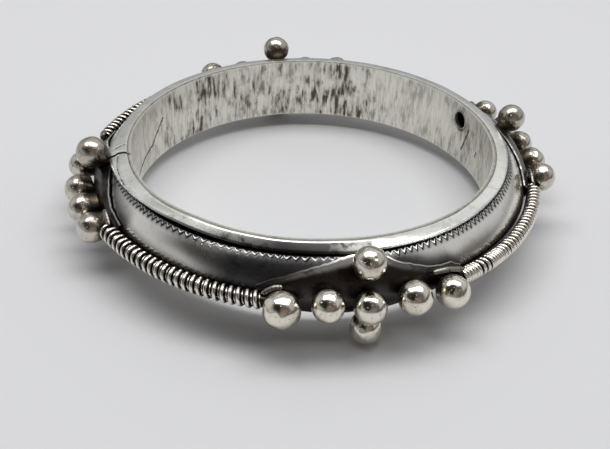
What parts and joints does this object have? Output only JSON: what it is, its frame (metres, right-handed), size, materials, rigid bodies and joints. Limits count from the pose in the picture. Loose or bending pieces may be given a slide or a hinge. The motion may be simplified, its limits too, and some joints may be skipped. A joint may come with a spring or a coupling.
{
  "type": "bangle",
  "caption": "Round hollow silver bangle: flat rims, engraved sloping shells, wound-wire coils round the outside and crosses of silver balls.",
  "frame": {"origin": "centre of the wrist opening, halfway between the two rims", "axes": "+Z along the axis of the wrist opening, upwards as the bangle lies; -Y towards the front ball plate's side"},
  "size_m": [0.0819, 0.0826, 0.0165],
  "materials": {
    "band_silver": "satin silver with dark upright tarnish streaks",
    "rim_silver": "worn bright satin silver",
    "shell_silver": "satin silver with an engraved zigzag and dark recesses",
    "ball_plate_silver": "polished silver balls on tarnished sheet",
    "coil_silver": "polished silver wire with dark gaps"
  },
  "bodies": {
    "root": {"inner_band": "band_silver", "upper_rim": "rim_silver", "lower_rim": "rim_silver", "upper_shell": "shell_silver", "lower_shell": "shell_silver", "front_ball_plate": "ball_plate_silver", "right_ball_plate": "ball_plate_silver", "back_ball_plate": "ball_plate_silver", "left_ball_plate": "ball_plate_silver", "front_right_coil": "coil_silver", "back_right_coil": "coil_silver", "back_left_coil": "coil_silver", "front_left_coil": "coil_silver"}
  },
  "joints": []
}
